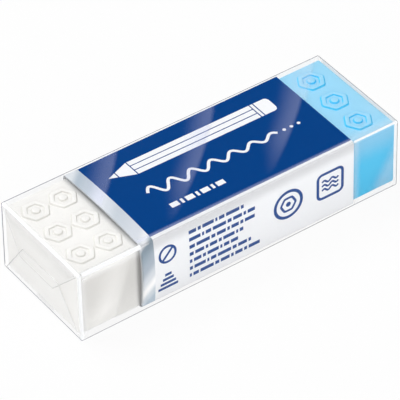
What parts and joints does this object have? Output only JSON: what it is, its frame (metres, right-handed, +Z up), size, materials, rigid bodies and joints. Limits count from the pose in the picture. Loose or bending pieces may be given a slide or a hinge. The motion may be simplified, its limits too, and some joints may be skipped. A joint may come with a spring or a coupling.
{
  "type": "rubber eraser",
  "caption": "Two-part block eraser, white for pencil and light blue for ink, in a printed card sleeve and sealed in clear film.",
  "frame": {"origin": "middle of the pack in plan, on the flat film face that it lies on", "axes": "+X along the block from the white end to the blue end, +Y across it to the far side, +Z up"},
  "size_m": [0.0658, 0.024, 0.0148],
  "materials": {
    "white_rubber": "soft matt white vinyl rubber, moulded",
    "blue_rubber": "soft matt light blue rubber, moulded",
    "printed_card": "coated card, printed dark blue and white with a silver band",
    "clear_film": "clear glossy overwrap film"
  },
  "bodies": {
    "root": {"white_block": "white_rubber", "blue_block": "blue_rubber", "card_sleeve": "printed_card", "film_wrap": "clear_film"}
  },
  "joints": []
}
